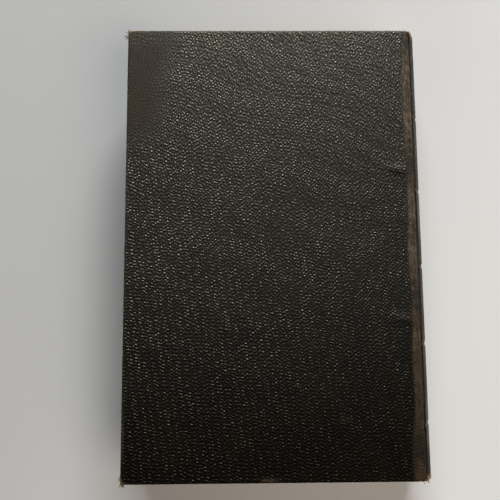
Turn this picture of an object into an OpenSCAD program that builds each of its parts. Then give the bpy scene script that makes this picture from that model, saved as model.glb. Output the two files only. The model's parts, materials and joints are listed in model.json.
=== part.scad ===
// Small case-bound prayer book, closed and lying on its front cover.
// +X points to the spine, +Y to the head, +Z up. The origin is the centre of the
// bottom of the closed book's box. Every length is in millimetres.

/* [Book] */
// Height of the covers from head to tail
book_h = 152; // [120:1:200]
// Width of a cover from its fore-edge to the hinge line
cover_w = 98.5; // [75:0.5:140]
// How far the rounded spine stands out beyond the hinge lines
spine_bulge = 3; // [2:0.1:4]
// Thickness of the text block between the two covers
block_t = 16.8; // [12:0.1:26]
// How far the covers stand out beyond the leaves on three sides
square_w = 3; // [2:0.1:5]

/* [Case] */
// Thickness of a cover board
board_t = 2; // [1.5:0.1:3]
// Thickness of the grained covering cloth
cloth_t = 0.4; // [0.3:0.05:0.6]
// Thickness of the pastedown glued inside a cover
pastedown_t = 0.2; // [0.15:0.05:0.3]
// Width of the flexible joint between a board and its hinge line
joint_w = 3.8; // [3:0.1:6]
// Width of the cloth turned in over the inside of a board
turn_in = 12; // [8:0.5:18]
// Thickness of the card inlay inside the spine
inlay_t = 0.5; // [0.3:0.05:0.8]
// Height of the spine cloth's edge above the middle of a board's thickness
spine_lip = 0.5; // [0.2:0.1:0.9]
// Number of rule lines pressed across the spine
rule_count = 5; // [1:1:7]
// Distance between two rule lines
rule_pitch = 26; // [16:0.5:32]
// Distance from the head of the cover to the first rule line
rule_first = 30.4; // [14:0.2:34]
// Width of a rule line
rule_w = 1.5; // [0.8:0.1:2.5]
// Depth of a rule line in the cloth
rule_d = 0.2; // [0.1:0.05:0.25]

/* [Text block] */
// Thickness of a flyleaf
flyleaf_t = 0.2; // [0.15:0.05:0.3]
// Thickness of one group of leaves that turns with the back cover
leaf_group_t = 0.6; // [0.4:0.05:0.8]
// Gap between two groups of leaves that turn by themselves
leaf_gap = 0.1; // [0.05:0.01:0.15]
// Gap between the front flyleaf and the front pastedown
front_gap = 0.05; // [0.02:0.01:0.1]

/* [Sewing and lining] */
// Thickness of a sewing tape
tape_t = 0.3; // [0.2:0.05:0.4]
// Width of a sewing tape
tape_w = 10; // [6:0.5:14]
// Distance of each of the two tapes from the middle of the spine
tape_y = 25.3; // [16:0.1:32]
// Diameter of the sewing thread
thread_d = 0.3; // [0.2:0.05:0.4]
// Thickness of the mull, an open cotton gauze
mull_t = 0.2; // [0.15:0.05:0.3]
// How far the mull stops short of the head and the tail of the leaves
mull_short = 13; // [8:1:20]
// Width of the mull glued to each board
mull_flange_w = 22; // [14:1:30]
// Length of the tape ends glued to each board
slip_len = 26; // [18:1:34]
// Thickness of the paper lining of the spine
lining_t = 0.25; // [0.15:0.05:0.4]
// Air gap of the hollow back, between the lining and the inlay, beyond the turned-in cloth
hollow_gap = 0.05; // [0.02:0.01:0.2]
// Thickness of a film of glue between two layers of the spine
glue_t = 0.03; // [0.01:0.01:0.05]
// Diameter of the headband's bead
band_d = 1.5; // [1:0.1:2]
// Length of the headband's skirt glued over the folds
band_skirt = 10; // [6:0.5:11]

/* [Hidden] */
$fn = 96;

// Overall box and hinge lines
cover_t = cloth_t + board_t + pastedown_t;
book_t = block_t + 2 * cover_t;
mid_z = book_t / 2;
fore_x = -(cover_w + spine_bulge) / 2;
hinge_x = fore_x + cover_w;
board_edge_x = hinge_x - joint_w;
leaf_h = book_h - 2 * square_w;

// The rounded spine: every layer is an arc about one line, spine_cx
half_chord = mid_z - cover_t / 2;
spine_r = (half_chord * half_chord + spine_bulge * spine_bulge) / (2 * spine_bulge);
spine_cx = hinge_x + spine_bulge - spine_r;
inlay_r = spine_r - cloth_t - glue_t;
turned_r = inlay_r - inlay_t - glue_t;
lining_r = turned_r - cloth_t - hollow_gap;
mull_r = lining_r - lining_t - glue_t;
stitch_r = mull_r - mull_t - glue_t;
tape_r = stitch_r - thread_d - glue_t;
fold_r = tape_r - tape_t - glue_t;
shoulder = block_t / 2 - leaf_gap;

// Where the outside of an arc of radius r stands at height z
function arc_x(r, z) = spine_cx + sqrt(r * r - pow(z - mid_z, 2));

// Heights of the leaves, from the front cover up
front_leaf_z = cover_t + front_gap;
first_section_z = front_leaf_z + flyleaf_t;
group_pitch = leaf_group_t + leaf_gap;
back_leaf_z = book_t - cover_t - leaf_gap - flyleaf_t;
group_z = [for (i = [0:3]) back_leaf_z - (4 - i) * group_pitch];
whole_sections = 10;
section_t = (group_z[0] - leaf_gap - first_section_z) / whole_sections;
fold_piece_t = 2 * leaf_group_t + leaf_gap;
fold_piece_z = [group_z[0], group_z[2]];

// Where a fold of thickness t has its centre at height z, and its back
function fold_x(z, t) = arc_x(fold_r - t / 2, z);
function back_x(z, t) = fold_x(z, t) + t / 2;
page_w = back_x(group_z[3] + leaf_group_t / 2, leaf_group_t) - (fore_x + square_w);
function leaf_fore_x(z, t) = back_x(z, t) - page_w;

cloth_colour = [0.11, 0.095, 0.08];
worn_colour = [0.24, 0.17, 0.12];
board_colour = [0.62, 0.53, 0.4];
paper_colour = [0.88, 0.83, 0.7];
endpaper_colour = [0.86, 0.8, 0.68];
gauze_colour = [0.85, 0.82, 0.74];
tape_colour = [0.9, 0.87, 0.78];
band_colour = [0.55, 0.3, 0.2];

// A cross-section drawn in X and Z, carried along Y over a height h
module along_y(h) {
    rotate([90, 0, 0]) linear_extrude(h, center = true) children();
}

// A box from its X and Z limits, centred in Y
module slab(x0, x1, z0, z1, h) {
    translate([x0, -h / 2, z0]) cube([x1 - x0, h, z1 - z0]);
}

// A profile drawn as radius and Y, swept round the spine: its outside, at radius r,
// reaches so far above and below the middle
module spine_sweep(r, reach) {
    half_angle = asin(reach / r);
    translate([spine_cx, 0, mid_z]) rotate([-90, 0, 0]) rotate([0, 0, -half_angle])
        rotate_extrude(angle = 2 * half_angle) children();
}

// A layer of thickness t under the outer radius r
module spine_layer(r, t, h, reach) {
    spine_sweep(r, reach) translate([r - t, -h / 2]) square([t, h]);
}

// Shows a piece of the back cover at the front cover's place
module at_front() {
    translate([0, 0, book_t]) mirror([0, 0, 1]) children();
}

// Pieces of one cover, drawn where the back cover lies

board_z = book_t - cloth_t - board_t;
board_h = book_h - 2 * cloth_t;
slip_x = board_edge_x - slip_len;
flange_x = board_edge_x - mull_flange_w;
flange_h = leaf_h - 2 * mull_short;

module board() {
    inner_x = fore_x + cloth_t;
    color(board_colour) difference() {
        slab(inner_x, board_edge_x, board_z, board_z + board_t, board_h);
        turned_in();
        mull_flange();
        tape_slips();
    }
}

// The cloth folded over three edges of the board, flush with its inner face
module turned_in() {
    difference() {
        slab(fore_x, board_edge_x, board_z, board_z + cloth_t, book_h);
        slab(fore_x + turn_in, board_edge_x, board_z - 1, board_z + cloth_t, book_h - 2 * turn_in);
    }
}

module cover_cloth() {
    color(cloth_colour) union() {
        difference() {
            slab(fore_x, board_edge_x, board_z, book_t, book_h);
            slab(fore_x + cloth_t, board_edge_x + 1, board_z - 1, board_z + board_t, board_h);
        }
        turned_in();
    }
}

// The cloth across the joint: it dips from the board to the spine's edge
module joint_cloth() {
    dip_z = book_t - cover_t / 2;
    end_x = arc_x(spine_r - cloth_t, dip_z) - glue_t;
    top = [[board_edge_x, book_t], [board_edge_x + 0.2 * joint_w, book_t - cloth_t],
        [board_edge_x + 0.5 * joint_w, dip_z + cloth_t / 2], [end_x, dip_z]];
    below = [for (i = [3:-1:0]) [top[i][0], top[i][1] - cloth_t]];
    color(worn_colour) along_y(book_h) polygon(concat(top, below));
}

module pastedown() {
    color(endpaper_colour)
        slab(fore_x + square_w, board_edge_x, board_z - pastedown_t, board_z, leaf_h);
}

module mull_flange() {
    color(gauze_colour)
        slab(flange_x, board_edge_x, board_z, board_z + mull_t, flange_h);
}

module tape_slips() {
    color(tape_colour) for (y = [-tape_y, tape_y])
        translate([0, y, 0])
            slab(slip_x, board_edge_x, board_z + mull_t, board_z + mull_t + tape_t, tape_w);
}

// Mull and endpaper, together, across the joint on the inside of the cover
module joint_lining() {
    lining_z = board_z - pastedown_t;
    end_x = arc_x(lining_r, lining_z) - glue_t - mull_t;
    color(endpaper_colour) slab(board_edge_x, end_x, lining_z, board_z + mull_t, leaf_h);
}

module back_board() { board(); }
module back_cover_cloth() { cover_cloth(); }
module back_joint_cloth() { joint_cloth(); }
module back_pastedown() { pastedown(); }
module back_mull_flange() { mull_flange(); }
module back_tape_slips() { tape_slips(); }
module back_joint_lining() { joint_lining(); }
module front_board() { at_front() board(); }
module front_cover_cloth() { at_front() cover_cloth(); }
module front_joint_cloth() { at_front() joint_cloth(); }
module front_pastedown() { at_front() pastedown(); }
module front_mull_flange() { at_front() mull_flange(); }
module front_tape_slips() { at_front() tape_slips(); }
module front_joint_lining() { at_front() joint_lining(); }

// Pieces of the spine, from the outside in

// The outer cloth's profile as radius and Y, with a shallow notch for each rule line
function rule_notch(y) = [[spine_r, y + rule_w / 2], [spine_r - rule_d, y + rule_w / 2],
    [spine_r - rule_d, y - rule_w / 2], [spine_r, y - rule_w / 2]];

module spine_cloth() {
    rule_y = [for (i = [0:rule_count - 1]) book_h / 2 - rule_first - i * rule_pitch];
    notches = [for (y = rule_y) each rule_notch(y)];
    wall_r = spine_r - cloth_t;
    wall = concat([[wall_r, -book_h / 2], [wall_r, book_h / 2], [spine_r, book_h / 2]], notches,
        [[spine_r, -book_h / 2]]);
    end_y = book_h / 2;
    inner_r = turned_r - cloth_t;
    turned_in = [[inner_r, end_y], [inner_r, end_y - turn_in], [turned_r, end_y - turn_in],
        [turned_r, end_y - cloth_t], [wall_r + cloth_t / 2, end_y - cloth_t],
        [wall_r + cloth_t / 2, end_y]];
    color(cloth_colour) union() {
        spine_sweep(spine_r, half_chord + spine_lip) polygon(wall);
        for (flip = [0, 1])
            mirror([0, flip, 0]) spine_sweep(spine_r, shoulder) polygon(turned_in);
    }
}

module spine_inlay() {
    inlay_h = book_h - 2 * cloth_t - 2 * glue_t;
    color(board_colour) spine_layer(inlay_r, inlay_t, inlay_h, half_chord - cover_t / 4);
}

module spine_lining() {
    color(paper_colour) spine_layer(lining_r, lining_t, leaf_h, shoulder);
}

module mull() {
    color(gauze_colour) spine_layer(mull_r, mull_t, flange_h, shoulder);
}

module sewing_tapes() {
    color(tape_colour) for (y = [-tape_y, tape_y])
        translate([0, y, 0]) spine_layer(tape_r, tape_t, tape_w, shoulder);
}

// One stitch of each section over each tape, and a kettle stitch near head and tail
module sewing_thread() {
    thread_r = stitch_r - thread_d / 2;
    kettle_y = leaf_h / 2 - mull_short - 2;
    stitch_z = concat([for (i = [0:whole_sections - 1]) first_section_z + (i + 0.5) * section_t],
        [for (z = fold_piece_z) z + fold_piece_t / 2]);
    color(tape_colour) {
        for (z = stitch_z, y = [-tape_y, tape_y])
            translate([arc_x(thread_r, z), y, z])
                rotate([90, 0, 0]) cylinder(h = tape_w, d = thread_d, center = true, $fn = 24);
        for (y = [-kettle_y, kettle_y])
            spine_sweep(tape_r, shoulder - section_t / 2)
                translate([fold_r + glue_t + thread_d / 2, y]) circle(d = thread_d, $fn = 24);
    }
}

// A bead on the ends of the folds, with a skirt glued over their backs
module end_band() {
    bead_y = leaf_h / 2 + glue_t + band_d / 2;
    skirt_y = leaf_h / 2 - band_skirt;
    color(band_colour) spine_sweep(tape_r, shoulder) {
        translate([tape_r - band_d / 2, bead_y]) circle(d = band_d, $fn = 32);
        translate([fold_r + glue_t, skirt_y]) square([tape_t, bead_y - skirt_y]);
    }
}

module headband() { end_band(); }
module tailband() { mirror([0, 1, 0]) end_band(); }

// Leaves, from the front cover up

module section(number) {
    z = first_section_z + (number - 0.5) * section_t;
    color(paper_colour) along_y(leaf_h) {
        translate([fold_x(z, section_t), z]) circle(d = section_t, $fn = 48);
        translate([leaf_fore_x(z, section_t), z - section_t / 2])
            square([page_w - section_t / 2, section_t]);
    }
}

// The folds of a section whose leaves turn with the back cover
module section_fold(z0) {
    z = z0 + fold_piece_t / 2;
    start_x = board_edge_x + leaf_gap;
    color(paper_colour) along_y(leaf_h) {
        translate([fold_x(z, fold_piece_t), z]) circle(d = fold_piece_t, $fn = 48);
        translate([start_x, z0]) square([fold_x(z, fold_piece_t) - start_x, fold_piece_t]);
    }
}

module leaf_group(z0, t) {
    color(paper_colour) slab(leaf_fore_x(z0 + t / 2, t), board_edge_x, z0, z0 + t, leaf_h);
}

module front_flyleaf() {
    z = front_leaf_z + flyleaf_t / 2;
    color(endpaper_colour)
        slab(leaf_fore_x(z, flyleaf_t), back_x(z, flyleaf_t), front_leaf_z,
            front_leaf_z + flyleaf_t, leaf_h);
}

module section_01() { section(1); }
module section_02() { section(2); }
module section_03() { section(3); }
module section_04() { section(4); }
module section_05() { section(5); }
module section_06() { section(6); }
module section_07() { section(7); }
module section_08() { section(8); }
module section_09() { section(9); }
module section_10() { section(10); }
module section_11_fold() { section_fold(fold_piece_z[0]); }
module section_12_fold() { section_fold(fold_piece_z[1]); }
module leaves_d() { leaf_group(group_z[0], leaf_group_t); }
module leaves_c() { leaf_group(group_z[1], leaf_group_t); }
module leaves_b() { leaf_group(group_z[2], leaf_group_t); }
module leaves_a() { leaf_group(group_z[3], leaf_group_t); }
module back_flyleaf() { leaf_group(back_leaf_z, flyleaf_t); }

back_board();
back_cover_cloth();
back_joint_cloth();
back_pastedown();
back_mull_flange();
back_tape_slips();
back_joint_lining();
front_board();
front_cover_cloth();
front_joint_cloth();
front_pastedown();
front_mull_flange();
front_tape_slips();
front_joint_lining();
spine_cloth();
spine_inlay();
spine_lining();
mull();
sewing_tapes();
sewing_thread();
headband();
tailband();
front_flyleaf();
section_01();
section_02();
section_03();
section_04();
section_05();
section_06();
section_07();
section_08();
section_09();
section_10();
section_11_fold();
section_12_fold();
leaves_d();
leaves_c();
leaves_b();
leaves_a();
back_flyleaf();
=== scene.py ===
"""Small prayer book bound in grained cloth, closed and lying on its front cover.

Metres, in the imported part's frame: +X to the spine, +Y to the head, +Z up.
"""

import math

import bmesh
import bpy
import numpy as np
from mathutils import Matrix, Vector
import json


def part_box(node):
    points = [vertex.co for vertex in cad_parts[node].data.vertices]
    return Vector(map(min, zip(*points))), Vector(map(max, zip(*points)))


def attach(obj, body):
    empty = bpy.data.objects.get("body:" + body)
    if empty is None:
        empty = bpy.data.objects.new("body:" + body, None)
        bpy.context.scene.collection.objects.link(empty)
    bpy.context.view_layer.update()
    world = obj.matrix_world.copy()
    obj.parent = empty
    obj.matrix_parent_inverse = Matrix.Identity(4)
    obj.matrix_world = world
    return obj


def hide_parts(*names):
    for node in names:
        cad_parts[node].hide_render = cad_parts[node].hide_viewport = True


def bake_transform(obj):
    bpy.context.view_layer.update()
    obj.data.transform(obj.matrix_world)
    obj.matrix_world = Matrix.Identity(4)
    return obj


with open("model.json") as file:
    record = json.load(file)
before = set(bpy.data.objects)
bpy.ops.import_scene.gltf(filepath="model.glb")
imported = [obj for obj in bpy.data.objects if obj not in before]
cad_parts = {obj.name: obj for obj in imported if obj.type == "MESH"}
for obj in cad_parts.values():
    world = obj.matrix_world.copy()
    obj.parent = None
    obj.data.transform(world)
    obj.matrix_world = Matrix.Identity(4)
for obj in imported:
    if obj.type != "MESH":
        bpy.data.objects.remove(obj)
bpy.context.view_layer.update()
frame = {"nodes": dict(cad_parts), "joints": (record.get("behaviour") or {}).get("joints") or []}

# ---- Sewn sections --------------------------------------------------------------------
# The text block is ten sections of eight sheets of aged book paper. Each sheet is folded
# once and sewn through its fold, and the rounded spine gives a hollow fore-edge.

MM = 0.001
SHEETS = 8
SHEET_T = 0.07 * MM
FOLD_STEPS = 6
LEAF_ROWS = 10
UNEVEN = 0.06 * MM
UNEVEN_EDGE = 0.08 * MM
TONES = 97

joint_place = {joint["name"]: Vector(joint["pos_m"]) for joint in frame["joints"]}
back_hinge = joint_place["back_cover_hinge"]
hinge_x = back_hinge.x
mid_z = (back_hinge.z + joint_place["front_cover_hinge"].z) / 2
half_chord = back_hinge.z - mid_z
spine_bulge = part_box("spine_cloth")[1].x - hinge_x
spine_r = (half_chord**2 + spine_bulge**2) / (2 * spine_bulge)
spine_x = hinge_x + spine_bulge - spine_r
leaf_low, leaf_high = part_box("section_05")
leaf_end = leaf_high.y
rng = np.random.default_rng(1907)


class Link:
    """An output of a material's node, which can be used in sums on values."""

    def __init__(self, finish, socket):
        self.finish = finish
        self.socket = socket

    def __add__(self, other):
        return self.finish.math("ADD", self, other)

    def __radd__(self, other):
        return self.finish.math("ADD", other, self)

    def __sub__(self, other):
        return self.finish.math("SUBTRACT", self, other)

    def __rsub__(self, other):
        return self.finish.math("SUBTRACT", other, self)

    def __mul__(self, other):
        return self.finish.math("MULTIPLY", self, other)

    def __rmul__(self, other):
        return self.finish.math("MULTIPLY", other, self)

    def __truediv__(self, other):
        return self.finish.math("DIVIDE", self, other)

    def __pow__(self, other):
        return self.finish.math("POWER", self, other)

    def __abs__(self):
        return self.finish.math("ABSOLUTE", self)


class Finish:
    """A procedural material on Object coordinates, or on the rest places of a new piece."""

    def __init__(self, name, on_piece=True):
        self.material = bpy.data.materials.new(name)
        self.material.use_nodes = True
        self.tree = self.material.node_tree
        self.tree.nodes.clear()
        if on_piece:
            self.place = self.node(
                "ShaderNodeAttribute", {"attribute_name": "rest_place"}, out="Vector"
            )
        else:
            self.place = self.node("ShaderNodeTexCoord", out="Object")
        split = self.node("ShaderNodeSeparateXYZ", inputs={0: self.place})
        self.x, self.y, self.z = (Link(self, out) for out in split.socket.node.outputs)

    def node(self, kind, settings=None, inputs=None, out=0):
        """Adds a node: first its settings, then its sockets' values or links."""
        made = self.tree.nodes.new(kind)
        for name, value in (settings or {}).items():
            setattr(made, name, value)
        for name, value in (inputs or {}).items():
            if isinstance(value, Link):
                self.tree.links.new(value.socket, made.inputs[name])
            else:
                made.inputs[name].default_value = value
        return None if out is None else Link(self, made.outputs[out])

    def math(self, operation, *values, clamp=False):
        """A sum of any kind on values or links."""
        settings = {"operation": operation, "use_clamp": clamp}
        return self.node("ShaderNodeMath", settings, dict(enumerate(values)))

    def clamp(self, value):
        return self.math("ADD", value, 0, clamp=True)

    def rise(self, value, low, high):
        """0 below low, 1 above high, and smooth between."""
        return self.node(
            "ShaderNodeMapRange",
            {"interpolation_type": "SMOOTHSTEP"},
            {"Value": value, "From Min": low, "From Max": high},
        )

    def placed(self, size, stretch, seed):
        """The place, counted in features of that size and shifted by the seed."""
        scale = [1 / (size * s) for s in stretch]
        mapping = {0: self.place, "Scale": scale, "Location": (seed,) * 3}
        return self.node("ShaderNodeMapping", {}, mapping)

    def noise(self, size, detail=2, stretch=(1, 1, 1), seed=0.0):
        """Noise about 0.5, with features of that size in metres, longer where stretch is."""
        inputs = {"Vector": self.placed(size, stretch, seed), "Scale": 1, "Detail": detail}
        return self.node("ShaderNodeTexNoise", {}, inputs)

    def spots(self, size, seed=0.0):
        """Distance from the nearest of many scattered points, in cells of that size."""
        inputs = {"Vector": self.placed(size, (1, 1, 1), seed), "Scale": 1}
        return self.node("ShaderNodeTexVoronoi", {}, inputs, out="Distance")

    def mix(self, under, over, share):
        """Colours mixed: over takes that share of under."""
        colours = {
            name: value if isinstance(value, Link) else (*value, 1)
            for name, value in ((6, under), (7, over))
        }
        return self.node("ShaderNodeMix", {"data_type": "RGBA"}, {0: share, **colours}, out=2)

    def mask(self, name):
        """A number that the piece carries on each vertex."""
        return self.node("ShaderNodeAttribute", {"attribute_name": name}, out="Fac")

    def surface(self, colour, rough, height=None, strength=1.0, dull=None, **fixed):
        """The shader. Height is in metres. What is the same all over is set on its socket.
        Dull is a share and how shiny the surface is where that share is 1."""
        inputs = {"Base Color": colour, "Roughness": rough, **fixed}
        if height is not None:
            settings = {"Strength": strength, "Distance": 1.0, "Height": height}
            inputs["Normal"] = self.node("ShaderNodeBump", {}, settings)
        shader = self.node("ShaderNodeBsdfPrincipled", {}, inputs)
        if dull is not None:
            inputs["Specular IOR Level"] = dull[1]
            duller = self.node("ShaderNodeBsdfPrincipled", {}, inputs)
            shader = self.node("ShaderNodeMixShader", {}, {0: dull[0], 1: shader, 2: duller})
        self.node("ShaderNodeOutputMaterial", {}, {"Surface": shader}, out=None)
        return self.material


def cover_node(name, material):
    """Gives a CAD node its finish."""
    data = frame["nodes"][name].data
    data.materials.clear()
    data.materials.append(material)


def vertex_places(mesh):
    places = np.zeros(len(mesh.vertices) * 3, np.float32)
    mesh.vertices.foreach_get("co", places)
    return places.reshape(-1, 3).astype(float)


def move_vertices(mesh, places):
    mesh.vertices.foreach_set("co", places.astype(np.float32).ravel())


def add_mask(mesh, name, values):
    """Stores one number for each vertex, which a finish can read by its name."""
    mesh.attributes.new(name, "FLOAT", "POINT").data.foreach_set(
        "value", np.asarray(values, np.float32)
    )


def keep_rest(mesh, places):
    """Stores the rest places that the finish reads, which a turning cover carries along."""
    rest = mesh.attributes["rest_place"]
    rest.data.foreach_set("vector", places.astype(np.float32).ravel())


def make_piece(name, bm, material):
    """A shaded object from a bmesh, which remembers its vertices' places at rest."""
    mesh = bpy.data.meshes.new(name)
    bm.to_mesh(mesh)
    bm.free()
    mesh.materials.append(material)
    mesh.shade_smooth()
    mesh.attributes.new("rest_place", "FLOAT_VECTOR", "POINT")
    keep_rest(mesh, vertex_places(mesh))
    piece = bpy.data.objects.new(name, mesh)
    bpy.context.scene.collection.objects.link(piece)
    return piece


def paper(name, tone, stain=0.0):
    """Aged rag paper: fine fibres, toned towards its three cut edges, with a few fox marks.
    The stain is what the turned-in cloth leaves on the endpaper over it."""
    finish = Finish(name)
    fibre = finish.noise(0.5 * MM, 4, stretch=(1, 3, 1))
    cloud = finish.noise(24 * MM, 3, seed=3)
    from_edge = finish.math("MINIMUM", leaf_end - abs(finish.y), finish.x - leaf_low.x)
    browning = 1 - finish.rise(from_edge + (cloud - 0.5) * 6 * MM, -1 * MM, 9 * MM)
    fox = finish.rise(finish.spots(17 * MM, seed=5), 0.0, 0.09)
    darker = tuple(c * k for c, k in zip(tone, (0.72, 0.6, 0.42)))
    colour = finish.mix(tone, darker, finish.clamp(browning * 0.75 + (cloud - 0.5) * 0.5))
    colour = finish.mix(colour, tuple(c * 0.92 for c in tone), finish.clamp((fibre - 0.42) * 2))
    colour = finish.mix(colour, (0.36, 0.2, 0.08), (1 - fox) * 0.45)
    if stain:
        near_end = finish.rise(abs(finish.y), leaf_end - 11 * MM, leaf_end - 8 * MM)
        inside = finish.rise(finish.x, leaf_low.x + 8 * MM, leaf_low.x + 11 * MM)
        offset = finish.math("MAXIMUM", near_end, 1 - inside)
        colour = finish.mix(colour, (0.42, 0.3, 0.16), offset * cloud * stain)
    return finish, colour, fibre


finish, colour, fibre = paper("leaf_paper", (0.78, 0.7, 0.52))
leaf_tone = finish.mask("leaf_tone")
colour = finish.mix(colour, (0.5, 0.38, 0.22), leaf_tone * 0.4)
leaf_paper = finish.surface(colour, 0.86 + fibre * 0.1, fibre * 0.01 * MM, 0.5)


def fore_edge(z, near_node):
    """Where the fore-edge of a leaf at height z stands: it follows the round of the folds."""
    low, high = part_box(near_node)
    centre_z = (low.z + high.z) / 2
    half_t = (high.z - low.z) / 2
    fold_r = math.hypot(high.x - half_t - spine_x, centre_z - mid_z) + half_t
    hollow = math.sqrt(fold_r**2 - (z - mid_z) ** 2)
    return low.x + hollow - math.sqrt(fold_r**2 - (centre_z - mid_z) ** 2)


def carry_along(bm, edges, length, rows):
    """Carries edges along Y in so many rows."""
    for _ in range(rows):
        moved = bmesh.ops.extrude_edge_only(bm, edges=edges)["geom"]
        verts = [v for v in moved if isinstance(v, bmesh.types.BMVert)]
        edges = [
            e
            for e in moved
            if isinstance(e, bmesh.types.BMEdge) and all(v in verts for v in e.verts)
        ]
        bmesh.ops.translate(bm, verts=verts, vec=(0, length / rows, 0))


def out_to(bm, vert, x):
    """Carries the end of a leaf's outline straight to x."""
    made = bmesh.ops.extrude_vert_indiv(bm, verts=[vert])
    bmesh.ops.translate(bm, verts=made["verts"], vec=(x - vert.co.x, 0, 0))
    return made["verts"][0]


def ends_of(bm, verts):
    return [v for v in verts if len(v.link_edges) == 1]


def tone_leaves(piece, leaf_of_height):
    """Gives each leaf its own slight tone."""
    mesh = piece.data
    places = vertex_places(mesh)
    leaf = np.round(leaf_of_height(places)).astype(int) % TONES
    add_mask(mesh, "leaf_tone", rng.random(TONES)[leaf] ** 2)


for number in range(1, 11):
    node = f"section_{number:02d}"
    low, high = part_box(node)
    centre_z = (low.z + high.z) / 2
    section_t = high.z - low.z
    fold_x = high.x - section_t / 2
    bm = bmesh.new()
    for sheet in range(SHEETS):
        fold_h = section_t / 2 - (sheet + 0.5) * section_t / (2 * SHEETS)
        start_y = -leaf_end + rng.uniform() * UNEVEN
        made = bmesh.ops.create_vert(bm, co=(fold_x, start_y, centre_z - fold_h))
        known = set(bm.verts) - set(made["vert"])
        bmesh.ops.spin(
            bm,
            geom=made["vert"],
            cent=(fold_x, start_y, centre_z),
            axis=(0, -1, 0),
            angle=math.pi,
            steps=FOLD_STEPS,
        )
        outline = [v for v in bm.verts if v not in known]
        for end in ends_of(bm, outline):
            far_x = fore_edge(end.co.z, node) + rng.uniform() * UNEVEN_EDGE
            outline.append(out_to(bm, end, far_x))
        edges = {e for v in outline for e in v.link_edges}
        carry_along(bm, list(edges), 2 * leaf_end - rng.uniform(1, 2) * UNEVEN, LEAF_ROWS)
    bmesh.ops.recalc_face_normals(bm, faces=bm.faces)
    bmesh.ops.solidify(bm, geom=bm.faces[:], thickness=SHEET_T)
    piece = make_piece(f"{node}_leaves", bm, leaf_paper)
    piece.data.shade_flat()
    tone_leaves(piece, lambda p: p[:, 2] / (section_t / (2 * SHEETS)))
    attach(piece, "text_block")
    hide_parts(node)

# ---- Leaves that turn -----------------------------------------------------------------
# The last two sections lie open in four groups of leaves. Each leaf is bound by its fold, and its
# outline runs in close steps near the hinge.

LEAVES_IN_GROUP = 7
BEND_START = 2.4 * MM
BEND_END = 15 * MM
BEND_STEPS = 18


def turning_leaves(name, node, heights, fold_node, wall_t, material, drop=0.0):
    """Leaves at those heights, each from its quarter of the fold out to the fore-edge. One
    with a drop has no fold and starts that far from the hinge."""
    bm = bmesh.new()
    low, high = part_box(fold_node)
    fold_h = (high.z - low.z) / 2
    fold_x, fold_z = high.x - fold_h, (high.z + low.z) / 2
    for z in heights:
        start_y = -leaf_end + rng.uniform() * UNEVEN
        if drop:
            last = bmesh.ops.create_vert(bm, co=(hinge_x - drop, start_y, z))["vert"][0]
        else:
            rise = z - fold_z
            made = bmesh.ops.create_vert(bm, co=(fold_x + abs(rise), start_y, fold_z))["vert"]
            turned = bmesh.ops.spin(
                bm,
                geom=made,
                cent=(fold_x, start_y, fold_z),
                axis=(0, -1 if rise > 0 else 1, 0),
                angle=math.pi / 2,
                steps=4,
            )["geom_last"]
            last = next(v for v in turned if isinstance(v, bmesh.types.BMVert))
        bend = [
            hinge_x - BEND_START - (BEND_END - BEND_START) * i / BEND_STEPS
            for i in range(BEND_STEPS + 1)
        ]
        for x in (*bend, fore_edge(z, node) + rng.uniform() * UNEVEN_EDGE):
            last = out_to(bm, last, x)
    carry_along(bm, bm.edges[:], 2 * leaf_end - 0.08 * MM, LEAF_ROWS)
    bmesh.ops.recalc_face_normals(bm, faces=bm.faces)
    bmesh.ops.solidify(bm, geom=bm.faces[:], thickness=wall_t)
    piece = make_piece(name, bm, material)
    piece.data.shade_flat()
    return piece


for group, fold_node in (
    ("leaves_d", "section_11_fold"),
    ("leaves_c", "section_11_fold"),
    ("leaves_b", "section_12_fold"),
    ("leaves_a", "section_12_fold"),
):
    low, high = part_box(group)
    leaf_pitch = (high.z - low.z) / LEAVES_IN_GROUP
    heights = [low.z + (i + 0.5) * leaf_pitch for i in range(LEAVES_IN_GROUP)]
    piece = turning_leaves(f"{group}_turning", group, heights, fold_node, SHEET_T, leaf_paper)
    tone_leaves(piece, lambda p: p[:, 2] / leaf_pitch)
    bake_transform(piece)
    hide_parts(group, fold_node)

# ---- Flyleaves ------------------------------------------------------------------------
# One leaf of stouter endpaper at each end of the text block, tipped to its neighbour along the
# fold. The front one goes with the text block.

ENDPAPER_T = 0.14 * MM

finish, colour, fibre = paper("endpaper", (0.74, 0.66, 0.5), stain=0.9)
endpaper = finish.surface(colour, 0.85 + fibre * 0.1, fibre * 0.02 * MM, 0.5)
flyleaf_low, flyleaf_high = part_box("back_flyleaf")
flyleaf_z = (flyleaf_low.z + flyleaf_high.z) / 2
piece = turning_leaves(
    "back_flyleaf_paper",
    "back_flyleaf",
    [flyleaf_z],
    "section_12_fold",
    ENDPAPER_T,
    endpaper,
    drop=0.6 * MM,
)
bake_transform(piece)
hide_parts("back_flyleaf")



def flat_sheet(low, high, columns, rows, wall_t):
    """A sheet that fills a box in plan, hanging by its thickness from the box's top."""
    bm = bmesh.new()
    bmesh.ops.create_grid(bm, x_segments=columns, y_segments=rows, size=0.5)
    bmesh.ops.scale(bm, vec=(high.x - low.x, high.y - low.y, 1), verts=bm.verts)
    bmesh.ops.translate(bm, vec=((low.x + high.x) / 2, 0, high.z), verts=bm.verts)
    bmesh.ops.solidify(bm, geom=bm.faces[:], thickness=wall_t)
    return bm


low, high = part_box("front_flyleaf")
bm = flat_sheet(low, high, 24, 36, ENDPAPER_T)
piece = make_piece("front_flyleaf_paper", bm, endpaper)
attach(piece, "text_block")
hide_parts("front_flyleaf")

# ---- Sewing ---------------------------------------------------------------------------
# Two linen tapes lie across the folds, with a stitch of linen thread over them for each
# section, and kettle stitches link the sections near the head and the tail.

TAPE_WEAVE = 0.55 * MM


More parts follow.
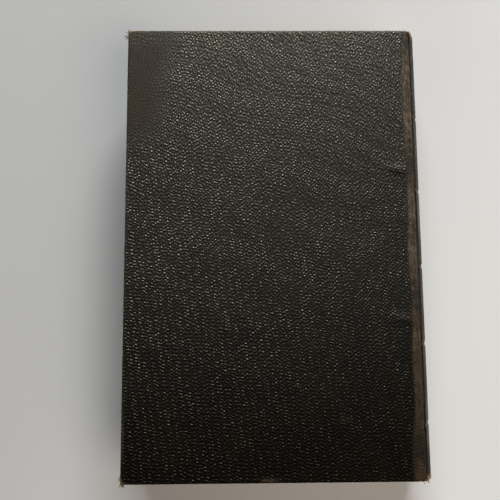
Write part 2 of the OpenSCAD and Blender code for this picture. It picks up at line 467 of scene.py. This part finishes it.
def woven(name, tone, pitch):
    """Plain weave: two crossing sets of threads, over and under each other."""
    finish = Finish(name, on_piece=False)
    across = finish.math("SINE", finish.y * (2 * math.pi / pitch))
    down = finish.math("SINE", (finish.x + finish.z) * (2 * math.pi / pitch))
    weave = finish.math("MAXIMUM", across, down)
    soil = finish.noise(3 * MM, 3)
    dark = tuple(c * 0.5 for c in tone)
    colour = finish.mix(tone, dark, finish.clamp(0.55 - weave * 0.4))
    colour = finish.mix(colour, (0.3, 0.2, 0.11), finish.clamp((soil - 0.45) * 1.6))
    return finish.surface(colour, 0.9 - weave * 0.05, weave * 0.04 * MM, 0.7)


cover_node("sewing_tapes", woven("linen_tape", (0.66, 0.6, 0.46), TAPE_WEAVE))
finish = Finish("linen_thread", on_piece=False)
ply = finish.math("SINE", (finish.y + finish.z * 1.2) * (2 * math.pi / (0.5 * MM)))
wax = finish.noise(2 * MM, 2)
twist = finish.clamp(0.5 - ply * 0.3 + (wax - 0.5))
colour = finish.mix((0.66, 0.58, 0.42), (0.32, 0.24, 0.14), twist)
cover_node("sewing_thread", finish.surface(colour, 0.6 + wax * 0.2, ply * 0.03 * MM, 0.6))

# ---- Spine linings --------------------------------------------------------------------
# Open cotton mull is glued over the folds and the sewing, and reaches onto both boards. A
# strip of brown paper is glued over it from head to tail.

gauze = woven("gauze", (0.62, 0.58, 0.47), 0.8 * MM)
for name in ("mull", "back_mull_flange", "front_mull_flange"):
    cover_node(name, gauze)
slips = woven("tape_slips", (0.64, 0.57, 0.43), TAPE_WEAVE)
for name in ("back_tape_slips", "front_tape_slips"):
    cover_node(name, slips)
finish = Finish("lining_paper", on_piece=False)
glue = finish.noise(5 * MM, 3, stretch=(1, 2, 1))
laid = finish.math("SINE", finish.y * (2 * math.pi / (1.1 * MM)))
colour = finish.mix((0.34, 0.24, 0.14), (0.2, 0.13, 0.07), finish.clamp(glue * 1.6 - 0.4))
height = laid * 0.01 * MM + glue * 0.05 * MM
cover_node("spine_lining", finish.surface(colour, 0.75 + glue * 0.2, height, 0.5))

# ---- Head and tail bands --------------------------------------------------------------
# A bought band of cotton, woven in faded red and cream stripes over a cord, is glued to
# the folds at each end. Its bead covers the ends of the folds.

STRIPE = 1.6 * MM
RIDGE = 0.45 * MM
BAND_GAP = 0.02 * MM

fold_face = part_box("sewing_tapes")[1].x - spine_x
band_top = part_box("headband")[1].y
bead_r = (band_top - leaf_end) / 2 - BAND_GAP
bead_way = fold_face - bead_r
band_reach = math.asin((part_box("headband")[1].z - mid_z) / fold_face)
band_low_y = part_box("headband")[0].y

finish = Finish("band_cloth")
turn = finish.mask("round_spine")
stripe = finish.rise(finish.math("PINGPONG", turn, STRIPE), 0.42 * STRIPE, 0.58 * STRIPE)
fade = finish.noise(1.5 * MM, 3)
colour = finish.mix((0.3, 0.05, 0.035), (0.62, 0.52, 0.34), stripe)
colour = finish.mix(colour, (0.22, 0.15, 0.1), finish.clamp((fade - 0.4) * 1.5))
band_cloth = finish.surface(colour, 0.7 + fade * 0.2, fade * 0.03 * MM, 0.6)

for node, side in (("headband", 1), ("tailband", -1)):
    bm = bmesh.new()
    bead_y = side * (leaf_end + BAND_GAP + bead_r)
    bmesh.ops.create_circle(bm, segments=14, radius=bead_r)
    bmesh.ops.translate(bm, vec=(spine_x + bead_way, bead_y, mid_z), verts=bm.verts)
    corners = [
        bmesh.ops.create_vert(bm, co=(spine_x + r, side * y, mid_z))["vert"][0]
        for r, y in (
            (fold_face - 0.05 * MM, leaf_end - 0.05 * MM),
            (fold_face - 0.05 * MM, band_low_y),
            (fold_face - 0.28 * MM, band_low_y),
            (fold_face - 0.28 * MM, leaf_end - 0.05 * MM),
        )
    ]
    for start, stop in zip(corners, corners[1:] + corners[:1]):
        bmesh.ops.contextual_create(bm, geom=[start, stop])
    outline = bm.verts[:] + bm.edges[:]
    turn_start = Matrix.Rotation(band_reach, 3, "Y")
    axis_place = (spine_x, 0, mid_z)
    bmesh.ops.rotate(bm, cent=axis_place, matrix=turn_start, verts=bm.verts)
    bmesh.ops.spin(
        bm, geom=outline, cent=axis_place, axis=(0, -1, 0), angle=2 * band_reach, steps=200
    )
    bmesh.ops.holes_fill(bm, edges=bm.edges[:], sides=0)
    bmesh.ops.recalc_face_normals(bm, faces=bm.faces)
    piece = make_piece(f"{node}_woven", bm, band_cloth)
    places = vertex_places(piece.data)
    angle = np.arctan2(places[:, 2] - mid_z, places[:, 0] - spine_x)
    way = angle * bead_way
    ridge = 0.5 + 0.5 * np.cos(2 * np.pi * way / RIDGE)
    on_bead = np.abs(places[:, 1]) > leaf_end
    bead_centre = np.stack(
        [
            spine_x + bead_way * np.cos(angle),
            np.full(len(places), bead_y),
            mid_z + bead_way * np.sin(angle),
        ],
        1,
    )
    pulled = bead_centre + (places - bead_centre) * (0.88 + 0.12 * ridge[:, None])
    places[on_bead] = pulled[on_bead]
    move_vertices(piece.data, places)
    add_mask(piece.data, "round_spine", way + 0.05)
    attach(piece, "text_block")
    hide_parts(node)

# ---- Boards and spine inlay -----------------------------------------------------------
# Each cover is a board of grey-brown pulp, and a strip of thin card stiffens the spine.

finish = Finish("binders_board", on_piece=False)
pulp = finish.noise(0.7 * MM, 4, stretch=(1, 2.5, 0.4))
fleck = finish.rise(finish.spots(1.8 * MM), 0.05, 0.2)
colour = finish.mix((0.3, 0.23, 0.15), (0.18, 0.13, 0.085), finish.clamp(pulp * 1.8 - 0.4))
colour = finish.mix((0.1, 0.07, 0.05), colour, fleck)
board_pulp = finish.surface(colour, 0.9 + pulp * 0.05, pulp * 0.06 * MM, 0.6)
for name in ("back_board", "front_board", "spine_inlay"):
    cover_node(name, board_pulp)

# ---- Pastedowns -----------------------------------------------------------------------
# The outer leaf of each endpaper is pasted down inside its cover. The turned-in cloth, the
# mull and the tape ends stand out a little through it.

RIDGE_H = 0.1 * MM
RIDGE_SOFT = 1 * MM
SLIP_W = 10 * MM
TURN_IN = 12 * MM

board_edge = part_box("back_board")[1].x
cover_low, cover_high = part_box("back_cover_cloth")
flange_low, flange_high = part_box("back_mull_flange")
slip_low, slip_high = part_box("back_tape_slips")
tape_y = slip_high.y - SLIP_W / 2


def step(values, edge, soft):
    """0 below the edge and 1 above it, smooth over that width, for numbers or arrays."""
    share = np.clip((values - edge) / soft + 0.5, 0, 1)
    return share * share * (3 - 2 * share)


def mirrored(bm, side):
    """Takes a piece of the back cover to the front cover's place."""
    if side == "front":
        bmesh.ops.scale(
            bm, vec=(1, 1, -1), space=Matrix.Translation((0, 0, -mid_z)), verts=bm.verts
        )
    bmesh.ops.recalc_face_normals(bm, faces=bm.faces)


for side in ("back", "front"):
    low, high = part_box("back_pastedown")
    bm = flat_sheet(low, high, 110, 170, high.z - low.z)
    for vert in bm.verts:
        x, y, z = vert.co
        if z < (low.z + high.z) / 2:
            turned = max(
                step(abs(y), cover_high.y - TURN_IN, RIDGE_SOFT),
                1 - step(x, cover_low.x + TURN_IN, RIDGE_SOFT),
            )
            gauze_under = step(x, flange_low.x, RIDGE_SOFT) * (
                1 - step(abs(y), flange_high.y, RIDGE_SOFT)
            )
            slip = step(x, slip_low.x, RIDGE_SOFT) * (
                1 - step(abs(abs(y) - tape_y), SLIP_W / 2, RIDGE_SOFT)
            )
            sunk = 1 - max(turned, min(1.0, 0.35 * gauze_under + 0.65 * slip))
            vert.co.z += RIDGE_H * sunk
    mirrored(bm, side)
    piece = make_piece(f"{side}_pastedown_paper", bm, endpaper)
    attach(piece, f"{side}_cover")
    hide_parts(f"{side}_pastedown")

    low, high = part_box("back_joint_lining")
    bm = flat_sheet(low, high, 14, 60, high.z - low.z)
    mirrored(bm, side)
    piece = make_piece(f"{side}_joint_paper", bm, endpaper)
    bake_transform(piece)
    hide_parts(f"{side}_joint_lining")

# ---- Grained cloth on the covers ------------------------------------------------------
# Book cloth embossed with a pebble grain is glued over each board, folded round three of
# its edges and mitred at the corners. It runs on across the joint, where it is rubbed
# brown, down into the groove beside the spine.

GRAIN = 1.08 * MM
GRAIN_DEPTH = 0.18 * MM
MESH_SHARE = 0.4
GRAIN_GAIN = 0.28
GRAIN_LEVEL = 0.24
GRAIN_TOP = 1.3
GRAIN_ROUND = 1.1
RIB = 0.62 * MM
CLOTH_WALL = 0.3 * MM
PITCH = 0.43 * MM
UPPER_ROUND = 0.65 * MM
LOWER_ROUND = 0.5 * MM
JOINT_SINK = 0.42 * MM
CORNER_ROUND = 1.0 * MM
GROOVE_Z = back_hinge.z - 0.25 * MM

joint_end = hinge_x - 0.55 * MM
GRAIN_WAY = 2 * math.pi / (GRAIN * math.sqrt(3) / 2)
grain_rng = np.random.default_rng(48)
crossing = []
for i in range(3):
    angle = 2 * math.pi * i / 3 + 0.25
    way = Vector((math.cos(angle), math.sin(angle), 0)) * GRAIN_WAY
    way.z = 0.8 * way.x + 0.6 * way.y
    crossing.append(way)
sways = []
for length in (46, 17, 8, 4.6, 3.1, 2.3):
    angle, push_angle, phase = grain_rng.uniform(0, 2 * math.pi, 3)
    sways.append(
        (
            Vector((math.cos(angle), math.sin(angle), 0.4)) * (2 * math.pi / (length * MM)),
            phase,
            Vector((math.cos(push_angle), math.sin(push_angle), 0)) * (0.036 * length * MM),
        )
    )
loose = []
for i in range(7):
    angle, share, phase = grain_rng.uniform((0.1, 0.75, 0), (0.9, 1.1, 2 * math.pi))
    angle = math.pi * (i + angle) / 7
    way = Vector((math.cos(angle), math.sin(angle), 0)) * GRAIN_WAY * share
    way.z = 0.7 * way.x - 0.7 * way.y
    loose.append((way, phase, math.cos(2 * angle)))
rib_way = Vector((1, 0, 0.5)) * (2 * math.pi / RIB)


def pebbles(along, cosine, share_up):
    """The cloth's grain, before it is rounded off: three crossing waves make a net of
    pebbles and seven loose ones break it up, drawn out towards the upper right, where the
    threads show too. Along gives a place's reach along a vector, for arrays or links."""
    swings = [cosine(along(way) + phase) for way, phase, _ in sways]
    drift = swings[2] * 1.2 + swings[4]
    total = 0.0
    for way in crossing:
        turn = share_up * along(Vector((0.16 * way.x, -0.16 * way.y, 0))) + along(way)
        for swing, (_, _, push) in zip(swings, sways):
            turn = swing * way.dot(push) + turn
        total = cosine(turn) * 0.6 + total
    for way, phase, lean in loose:
        total = cosine(along(way) + drift + phase) * (share_up * (0.8 * lean) + 0.6) + total
    return total


def ribs(along, cosine):
    """The cloth's thicker threads, which sway a little as they run from head to tail."""
    return cosine(along(rib_way) + cosine(along(Vector((700, 900, 0)))) * 2)


def grain_relief(places, rub, wear):
    """The share of the grain that the mesh itself takes, flatter where the cloth is worn."""
    share_up = np.clip((places[:, 1] + 0.6 * places[:, 0]) / (90 * MM), -1, 1)
    field = pebbles(lambda way: places @ np.array(way), np.cos, share_up)
    dome = np.clip(field * GRAIN_GAIN + GRAIN_LEVEL, 0, GRAIN_TOP) ** GRAIN_ROUND
    depth = GRAIN_DEPTH * MESH_SHARE * (1 - 0.75 * rub) * (1 - 0.4 * wear)
    return depth * (dome - GRAIN_TOP)


def spot(places, x, y, wide, long):
    """A soft round mark."""
    return np.exp(-(((places[:, 0] - x) / wide) ** 2) - ((places[:, 1] - y) / long) ** 2)


def ripple(values, length, seed):
    """A slow uneven line from three waves."""
    return sum(
        math.cos(seed * (n + 1.3)) * np.sin(2 * np.pi * values * n / length + seed * n * n)
        for n in (1, 2, 3)
    )


def grained_cloth(name):
    """Near-black cloth, brown where it is rubbed and paler where its threads lie bare. Its
    warm sheen grows towards the head and fades where the cloth is worn."""
    finish = Finish(name)
    share_up = finish.math(
        "MINIMUM", finish.math("MAXIMUM", (finish.y + finish.x * 0.6) / (90 * MM), -1), 1
    )

    def along(way):
        return finish.node(
            "ShaderNodeVectorMath", {"operation": "DOT_PRODUCT"}, {0: finish.place, 1: way}, "Value"
        )

    def cosine(value):
        return finish.math("COSINE", value)

    field = pebbles(along, cosine, share_up)
    dome = finish.math("MAXIMUM", field * GRAIN_GAIN + GRAIN_LEVEL, 0) ** GRAIN_ROUND
    wear, rub = finish.mask("wear"), finish.mask("rub")
    soil = finish.noise(9 * MM, 4, seed=11)
    fine = finish.noise(0.35 * MM, 3, seed=2)
    thread = finish.noise(0.3 * MM, 2, stretch=(1, 9, 1), seed=6)
    tint = finish.noise(2.2 * MM, 3, seed=8)
    streak = finish.noise(0.6 * MM, 4, stretch=(1, 5, 1), seed=9)
    # The pebble tops are a little paler from wear, and the valleys between them are painted darker
    # as shade.
    dark = finish.mix((0.0012, 0.0009, 0.0006), (0.0035, 0.0024, 0.0014), dome)
    dark = finish.mix(dark, (0.009, 0.0045, 0.002), finish.clamp((soil - 0.42) * 1.1) * 0.5)
    dark = finish.mix(dark, (0.02, 0.0125, 0.008), rub * (0.5 + thread * 0.5))
    worn = finish.mix((0.05, 0.038, 0.026), (0.185, 0.14, 0.097), finish.clamp(streak * 3 - 1.1))
    # The worn brown is painted darker towards the tail, as painted shade that follows the fall of
    # the light.
    painted_tail_shade = 1 - finish.rise(finish.y, -70 * MM, 50 * MM)
    worn = finish.mix(worn, (0.03, 0.017, 0.008), painted_tail_shade * 0.85)
    worn = finish.mix(worn, (0.22, 0.135, 0.06), finish.rise(wear, 0.85, 1.0) * (0.3 + streak))
    bare = finish.clamp((wear * 1.5 + (tint - 0.5) * 1.1 + (dome - 0.5) * 0.25) - 0.35)
    colour = finish.mix(dark, worn, finish.clamp(bare * 1.3))
    rough = finish.clamp(0.4 + fine * 0.06 + wear * 1.0 + soil * 0.06)
    height = dome * GRAIN_DEPTH * (1 - rub * 0.75) * (1 - wear * 0.4)
    height = height * (0.54 - share_up * 0.04) + fine * 0.012 * MM
    height = height + thread * (rub * 0.05 * MM)
    threads_show = finish.rise(share_up, -0.3, 0.7) * 1.6 + rub
    height = height + ribs(along, cosine) * threads_show * 0.012 * MM
    sheen = finish.rise(finish.y, -78 * MM, 5 * MM) * (1 - rub * 0.8)
    dull = (1 - sheen * (1 - wear * 0.8), 0.3)
    warm = {"Specular Tint": (1, 0.88, 0.7, 1), "Specular IOR Level": 1.0}
    return finish.surface(colour, rough, height, 1.0, dull, **warm)


cover_cloth = grained_cloth("grained_cloth")


def sheet_round_board(bm, inset, pitch):
    """One face of the cloth: flat over the board, then ring by ring round three edges. The
    inset is how far it lies inside the cloth's outer face."""
    top, bottom = cover_high.z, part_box("back_cover_cloth")[0].z
    half_h = cover_high.y
    steps = [(UPPER_ROUND, top - inset)]
    for turn in (30, 60, 90):
        steps.append(
            (
                UPPER_ROUND - (UPPER_ROUND - inset) * math.sin(math.radians(turn)),
                top - UPPER_ROUND + (UPPER_ROUND - inset) * math.cos(math.radians(turn)),
            )
        )
    for turn in (0, 45, 90):
        steps.append(
            (
                LOWER_ROUND - (LOWER_ROUND - inset) * math.cos(math.radians(turn)),
                bottom + LOWER_ROUND - (LOWER_ROUND - inset) * math.sin(math.radians(turn)),
            )
        )
    steps += [(TURN_IN / 2, bottom + inset), (TURN_IN, bottom + inset)]

    def size(step_inset):
        return joint_end - cover_low.x - step_inset, half_h - step_inset

    long_x, long_y = size(steps[0][0])
    made = bmesh.ops.create_grid(
        bm, x_segments=round(long_x / pitch), y_segments=round(2 * long_y / pitch), size=0.5
    )
    verts = made["verts"]
    bmesh.ops.scale(bm, vec=(long_x, 2 * long_y, 1), verts=verts)
    bmesh.ops.translate(bm, vec=(joint_end - long_x / 2, 0, steps[0][1]), verts=verts)
    edges = [
        e
        for e in {e for v in verts for e in v.link_edges}
        if e.is_boundary and sum(v.co.x for v in e.verts) / 2 < joint_end - 0.01 * MM
    ]
    for step_inset, z in steps[1:]:
        grown = bmesh.ops.extrude_edge_only(bm, edges=edges)["geom"]
        ring = [v for v in grown if isinstance(v, bmesh.types.BMVert)]
        in_ring = set(ring)
        edges = [
            e
            for e in grown
            if isinstance(e, bmesh.types.BMEdge) and all(v in in_ring for v in e.verts)
        ]
        new_x, new_y = size(step_inset)
        bmesh.ops.scale(
            bm,
            vec=(new_x / long_x, new_y / long_y, 1),
            space=Matrix.Translation((-joint_end, 0, 0)),
            verts=ring,
        )
        bmesh.ops.translate(bm, vec=(0, 0, z - ring[0].co.z), verts=ring)
        long_x, long_y = new_x, new_y
        verts = verts + ring
    return {e for v in verts for e in v.link_edges if e.is_boundary}


def round_corners(places):
    """Rounds the two outer corners of the cover in plan."""
    across = np.clip((cover_low.x + CORNER_ROUND - places[:, 0]) / CORNER_ROUND, 0, 1)
    along = np.clip(
        (np.abs(places[:, 1]) - cover_high.y + CORNER_ROUND) / CORNER_ROUND, 0, 1
    )
    new_across = across * np.sqrt(1 - along**2 / 2)
    new_along = along * np.sqrt(1 - across**2 / 2)
    places[:, 0] += (across - new_across) * CORNER_ROUND
    places[:, 1] -= np.sign(places[:, 1]) * (along - new_along) * CORNER_ROUND


def sink_joint(places):
    """Lets the cloth down from the board's edge to the groove beside the spine."""
    top, bottom = cover_high.z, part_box("back_cover_cloth")[0].z
    over = np.clip((places[:, 0] - board_edge) / (joint_end - board_edge), 0, 1)
    line_top = top - JOINT_SINK * step(over, 0.22, 0.45)
    line_top -= (top - JOINT_SINK - GROOVE_Z) * step(over, 0.89, 0.22)
    line_low = bottom + (GROOVE_Z - 0.6 * MM - bottom) * step(over, 0.5, 1)
    share = (places[:, 2] - bottom) / (top - bottom)
    places[:, 2] = line_low + share * (line_top - line_low)


def wear_of_cover(places, seeded, rubbed_patch):
    """Masks of wear and rubbing, from where a vertex lies on the cover."""
    x, y = places[:, 0], places[:, 1]
    to_edge = np.minimum(x - cover_low.x, cover_high.y - np.abs(y))
    corner = np.hypot(
        np.maximum(cover_low.x + 5 * MM - x, 0), np.maximum(np.abs(y) - cover_high.y + 5 * MM, 0)
    )
    wear = 0.55 * np.exp(-((np.maximum(to_edge, 0) / (0.5 * MM)) ** 2))
    wear += step(corner, 5.6 * MM, 1.6 * MM)
    over = x - board_edge
    ragged = 0.3 * MM * ripple(y, 90 * MM, seeded)
    tail_wide = 1.6 * MM * step(-y, 60 * MM, 18 * MM)
    band = step(over + ragged + tail_wide, 0.2 * MM, 0.9 * MM)
    wear += band * (0.5 + 0.12 * ripple(y, 47 * MM, seeded + 2))
    rub = 0.55 * band
    if rubbed_patch:
        reach = 11 * MM + 5 * MM * step(y, 66 * MM, 14 * MM) + 1.2 * MM * ripple(y, 60 * MM, 4.0)
        patch = (1 - step(x - cover_low.x, reach, 11 * MM)) * step(y, 38 * MM, 16 * MM)
        rub = np.maximum(rub, (0.9 - 0.35 * step(y, 71 * MM, 5 * MM)) * patch)
        wear += 0.12 * patch
        for mark_x, mark_y, wide, long, depth in (
            (45.0, -22.2, 0.9, 3.2, 0.3),
            (45.5, -43.3, 0.8, 1.4, 0.2),
            (45.1, 7.6, 0.35, 0.5, 0.7),
            (45.0, -14.3, 0.35, 0.5, 0.7),
            (45.1, -70.1, 0.8, 1.2, 0.15),
            (-3.1, -74.9, 3.0, 0.7, 0.7),
            (21.4, -56.5, 2.0, 0.8, 0.28),
            (-50.2, -60.0, 0.6, 9.0, 0.45),
            (40.5, -24.5, 4.5, 0.5, 0.25),
        ):
            wear += depth * spot(places, mark_x * MM, mark_y * MM, wide * MM, long * MM)
    return np.clip(wear, 0, 1), np.clip(rub, 0, 1)


def move_along_normals(mesh, amount):
    """Moves each vertex out of the surface by its own amount."""
    normals = np.zeros(len(mesh.vertices) * 3, np.float32)
    mesh.vertices.foreach_get("normal", normals)
    places = vertex_places(mesh) + normals.reshape(-1, 3) * amount[:, None]
    move_vertices(mesh, places)


for side in ("back", "front"):
    bm = bmesh.new()
    outer_edges = sheet_round_board(bm, 0.0, PITCH)
    outer_verts = len(bm.verts)
    inner_edges = sheet_round_board(bm, CLOTH_WALL, 1.6 * MM)
    bmesh.ops.bridge_loops(bm, edges=list(outer_edges | inner_edges))
    bmesh.ops.recalc_face_normals(bm, faces=bm.faces)
    piece = make_piece(f"{side}_cloth", bm, cover_cloth)
    mesh = piece.data
    places = vertex_places(mesh)
    outer = np.arange(len(places)) < outer_verts
    wear, rub = wear_of_cover(places, 2.0 if side == "back" else 5.0, side == "back")
    face = step(places[:, 2], cover_high.z - 1.4 * MM, 1 * MM)
    slant = places.copy()
    slant[:, 1] += 0.16 * (places[:, 0] - 41 * MM)
    swell = 0.26 * MM * (
        spot(slant, 41.5 * MM, tape_y + 0.9 * MM, 3.6 * MM, 1.5 * MM)
        + spot(slant, 40.6 * MM, -tape_y + 1.2 * MM, 4.6 * MM, 1.5 * MM)
    )
    if side == "back":
        places[:, 2] += face * swell
    round_corners(places)
    sink_joint(places)
    if side == "front":
        places[:, 2] = 2 * mid_z - places[:, 2]
        mesh.flip_normals()
    move_vertices(mesh, places)
    keep_rest(mesh, places)
    mesh.update()
    move_along_normals(mesh, np.where(outer, grain_relief(places, rub, wear), 0))
    add_mask(mesh, "wear", wear)
    add_mask(mesh, "rub", rub)
    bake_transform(piece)
    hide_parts(f"{side}_cover_cloth", f"{side}_joint_cloth")

# ---- Grained cloth on the spine -------------------------------------------------------
# The same cloth goes over the rounded spine, with five rules pressed across it. It rolls
# into the grooves at both sides and is turned in over the inlay at head and tail.

RULE_Y = [(76 - 30.4 - 26 * i) * MM for i in range(5)]
RULE_W = 1.5 * MM
RULE_DEPTH = 0.25 * MM
CAP_ROUND = 1.2 * MM
ROLL_IN = 0.7 * MM

spine_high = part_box("spine_cloth")[1]
spine_reach = math.asin((spine_high.z - mid_z) / spine_r)
turned_r = spine_r - 1.0 * MM
middle_r, cap_depth = (turned_r + spine_r) / 2, (spine_r - turned_r) / 2
cap_y = spine_high.y - CAP_ROUND / 2

bm = bmesh.new()
inner_end = (spine_x + turned_r, -spine_high.y + TURN_IN, mid_z)
last = bmesh.ops.create_vert(bm, co=inner_end)["vert"][0]


def run_to(vert, radius, y, count):
    """Carries the spine's outline on to a radius and height, in equal steps."""
    start_r, start_y = vert.co.x - spine_x, vert.co.y
    for i in range(1, count + 1):
        made = bmesh.ops.extrude_vert_indiv(bm, verts=[vert])["verts"][0]
        made.co.x = spine_x + start_r + (radius - start_r) * i / count
        made.co.y = start_y + (y - start_y) * i / count
        vert = made
    return vert


def round_cap(vert, end):
    """Carries the outline over the cap at the tail (-1) or back in at the head (1)."""
    for turn in (45, 90, 135):
        swing = math.radians(turn)
        radius = middle_r + end * cap_depth * math.cos(swing)
        vert = run_to(vert, radius, end * (cap_y + CAP_ROUND / 2 * math.sin(swing)), 1)
    return vert


last = run_to(last, turned_r, -cap_y, 6)
last = run_to(round_cap(last, -1), spine_r, -cap_y, 1)
last = run_to(last, spine_r, cap_y, round(2 * cap_y / PITCH))
last = run_to(round_cap(last, 1), turned_r, cap_y, 1)
last = run_to(last, turned_r, spine_high.y - TURN_IN, 6)
bmesh.ops.rotate(
    bm,
    cent=(spine_x, 0, mid_z),
    matrix=Matrix.Rotation(spine_reach, 3, "Y"),
    verts=bm.verts,
)
bmesh.ops.spin(
    bm,
    geom=bm.verts[:] + bm.edges[:],
    cent=(spine_x, 0, mid_z),
    axis=(0, -1, 0),
    angle=2 * spine_reach,
    steps=round(2 * spine_reach * spine_r / PITCH),
)
bmesh.ops.recalc_face_normals(bm, faces=bm.faces)
piece = make_piece("spine_cloth_grained", bm, cover_cloth)
mesh = piece.data
places = vertex_places(mesh)
radius = np.hypot(places[:, 0] - spine_x, places[:, 2] - mid_z)
on_wall = step(radius, spine_r - 0.35 * MM, 0.3 * MM)
height = np.abs(places[:, 2] - mid_z)
pressed = sum(1 - step(np.abs(places[:, 1] - y), RULE_W / 2, 0.5 * MM) for y in RULE_Y)
roll = step(height, half_chord + 0.25 * MM, 0.5 * MM)
wear = 0.9 * step(np.abs(places[:, 1]), spine_high.y - 2 * MM, 2.4 * MM)
wear += 0.12 + 0.2 * roll + 0.1 * ripple(places[:, 1], 70 * MM, 3.0)
rub = 0.55 + 0.2 * roll
relief = grain_relief(places, rub, wear=0)
outward = np.stack([places[:, 0] - spine_x, np.zeros(len(places)), places[:, 2] - mid_z], 1)
outward /= radius[:, None]
places += outward * (on_wall * (relief - RULE_DEPTH * pressed))[:, None]
places[:, 2] -= np.sign(places[:, 2] - mid_z) * ROLL_IN * roll * on_wall
move_vertices(mesh, places)
add_mask(mesh, "wear", np.clip(wear, 0, 1))
add_mask(mesh, "rub", np.clip(rub, 0, 1))
shell = piece.modifiers.new("wall", "SOLIDIFY")
shell.thickness = CLOTH_WALL
shell.offset = -1
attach(piece, "text_block")
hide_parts("spine_cloth")

# ---- Frayed threads -------------------------------------------------------------------
# Where the cloth has worn through at the covers' corners and at the ends of the spine, the
# ends of its brown threads stand out in short bent tufts.

FRAY_R = 0.09 * MM

fray_rng = np.random.default_rng(15)
finish = Finish("frayed_thread")
tone = finish.noise(0.8 * MM, 2)
frayed_thread = finish.surface(
    finish.mix((0.07, 0.04, 0.018), (0.3, 0.19, 0.09), tone), 0.85 + tone * 0.05
)


def fray(bm, place, outward, count):
    """A tuft of short threads, each starting near one spot and bending over."""
    for _ in range(count):
        long, bend = fray_rng.uniform((0.5, 0.1), (1.3, 0.5)) * MM
        away = Vector(outward) + Vector(fray_rng.uniform(-0.7, 0.7, 3))
        away.z = -abs(away.z)
        start = Vector(place) + Vector(fray_rng.uniform(-0.5, 0.5, 3)) * MM
        ring = bmesh.ops.create_circle(bm, cap_ends=True, segments=6, radius=FRAY_R)["verts"]
        verts = list(ring)
        for i in (1, 2, 3):
            edges = {e for v in ring for e in v.link_edges if e.other_vert(v) in ring}
            grown = bmesh.ops.extrude_edge_only(bm, edges=list(edges))["geom"]
            ring = [v for v in grown if isinstance(v, bmesh.types.BMVert)]
            bmesh.ops.translate(bm, vec=(bend * (2 * i - 1) / 9, 0, long / 3), verts=ring)
            verts += ring
        bmesh.ops.contextual_create(bm, geom=ring)
        turn = away.to_track_quat("Z", "Y").to_matrix().to_4x4()
        bmesh.ops.transform(bm, matrix=Matrix.Translation(start) @ turn, verts=verts)


corner_z = cover_high.z - 1.1 * MM
for side in ("back", "front"):
    bm = bmesh.new()
    for end in (1, -1):
        corner_y = end * (cover_high.y - 0.5 * MM)
        fray(bm, (cover_low.x + 0.5 * MM, corner_y, corner_z), (-0.5, end, 0), 16)
        fray(bm, (cover_low.x + 0.3 * MM, corner_y - end * 1.3 * MM, corner_z), (-1, 0, 0), 7)
        fray(bm, (board_edge + 2.2 * MM, corner_y, corner_z - 0.4 * MM), (0.2, end, 0), 7)
    mirrored(bm, side)
    piece = make_piece(f"{side}_cover_frayed_threads", bm, frayed_thread)
    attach(piece, f"{side}_cover")
bm = bmesh.new()
for end in (1, -1):
    for rise in (-0.8, 0.3, 0.8):
        place = (
            spine_x + spine_r * math.cos(spine_reach * rise) - 0.7 * MM,
            end * (spine_high.y - 0.4 * MM),
            mid_z + spine_r * math.sin(spine_reach * rise),
        )
        fray(bm, place, (0.3, end, 0), 7)
bmesh.ops.recalc_face_normals(bm, faces=bm.faces)
piece = make_piece("spine_frayed_threads", bm, frayed_thread)
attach(piece, "text_block")

# ---- Studio ---------------------------------------------------------------------------
# The book lies on a pale table, its colour painted darker towards the upper left as shade, under
# one wide soft light beyond its head and a weak one above it, and the camera looks almost straight
# down on the back cover.

LENS = 43.42
CAMERA_AT = Vector((-11.5, -26.2, 220.8)) * MM
CAMERA_TURN = (7.17, -0.688, -0.413)
TABLE_HALF = 3

bm = bmesh.new()
bmesh.ops.create_grid(bm, x_segments=1, y_segments=1, size=TABLE_HALF)
finish = Finish("table")
mottle = finish.noise(60 * MM, 2)
# Painted shade: the table's colour darkens towards the upper left where the light falls off, and
# the mottle only breaks up that edge and the roughness.
painted_light_share = finish.rise(finish.x - finish.y * 0.45 + mottle * 20 * MM, -80 * MM, 105 * MM)
table_paint_and_shade = finish.surface(
    finish.mix((0.47, 0.47, 0.475), (0.68, 0.675, 0.67), painted_light_share), 0.6 + mottle * 0.1
)
table = make_piece("table", bm, table_paint_and_shade)


def soft_light(name, place, size, power, colour):
    light = bpy.data.lights.new(name, "AREA")
    light.shape = "RECTANGLE"
    light.size, light.size_y = size
    light.energy = power
    light.color = colour
    lamp = bpy.data.objects.new(name, light)
    lamp.location = place
    lamp.rotation_euler = (-Vector(place)).to_track_quat("-Z", "Y").to_euler()
    bpy.context.scene.collection.objects.link(lamp)
    return lamp


soft_light("window", (0.35, 3.6, 1.5), (2.6, 1.1), 290, (0.95, 0.99, 1))
fill = soft_light("ceiling", (0.5, -0.4, 0.75), (0.8, 0.8), 5.5, (1, 0.88, 0.76))
fill.visible_glossy = False

world = bpy.data.worlds.new("room")
world.use_nodes = True
backdrop = world.node_tree.nodes["Background"].inputs
backdrop["Color"].default_value = (0.8, 0.82, 0.85, 1)
backdrop["Strength"].default_value = 0.03
bpy.context.scene.world = world
bpy.context.scene.view_settings.view_transform = "Standard"

camera_data = bpy.data.cameras.new("camera")
camera_data.lens = LENS
camera_data.clip_start = 0.01
camera = bpy.data.objects.new("camera", camera_data)
camera.location = CAMERA_AT
camera.rotation_euler = [math.radians(a) for a in CAMERA_TURN]
bpy.context.scene.collection.objects.link(camera)
bpy.context.scene.camera = camera

import json
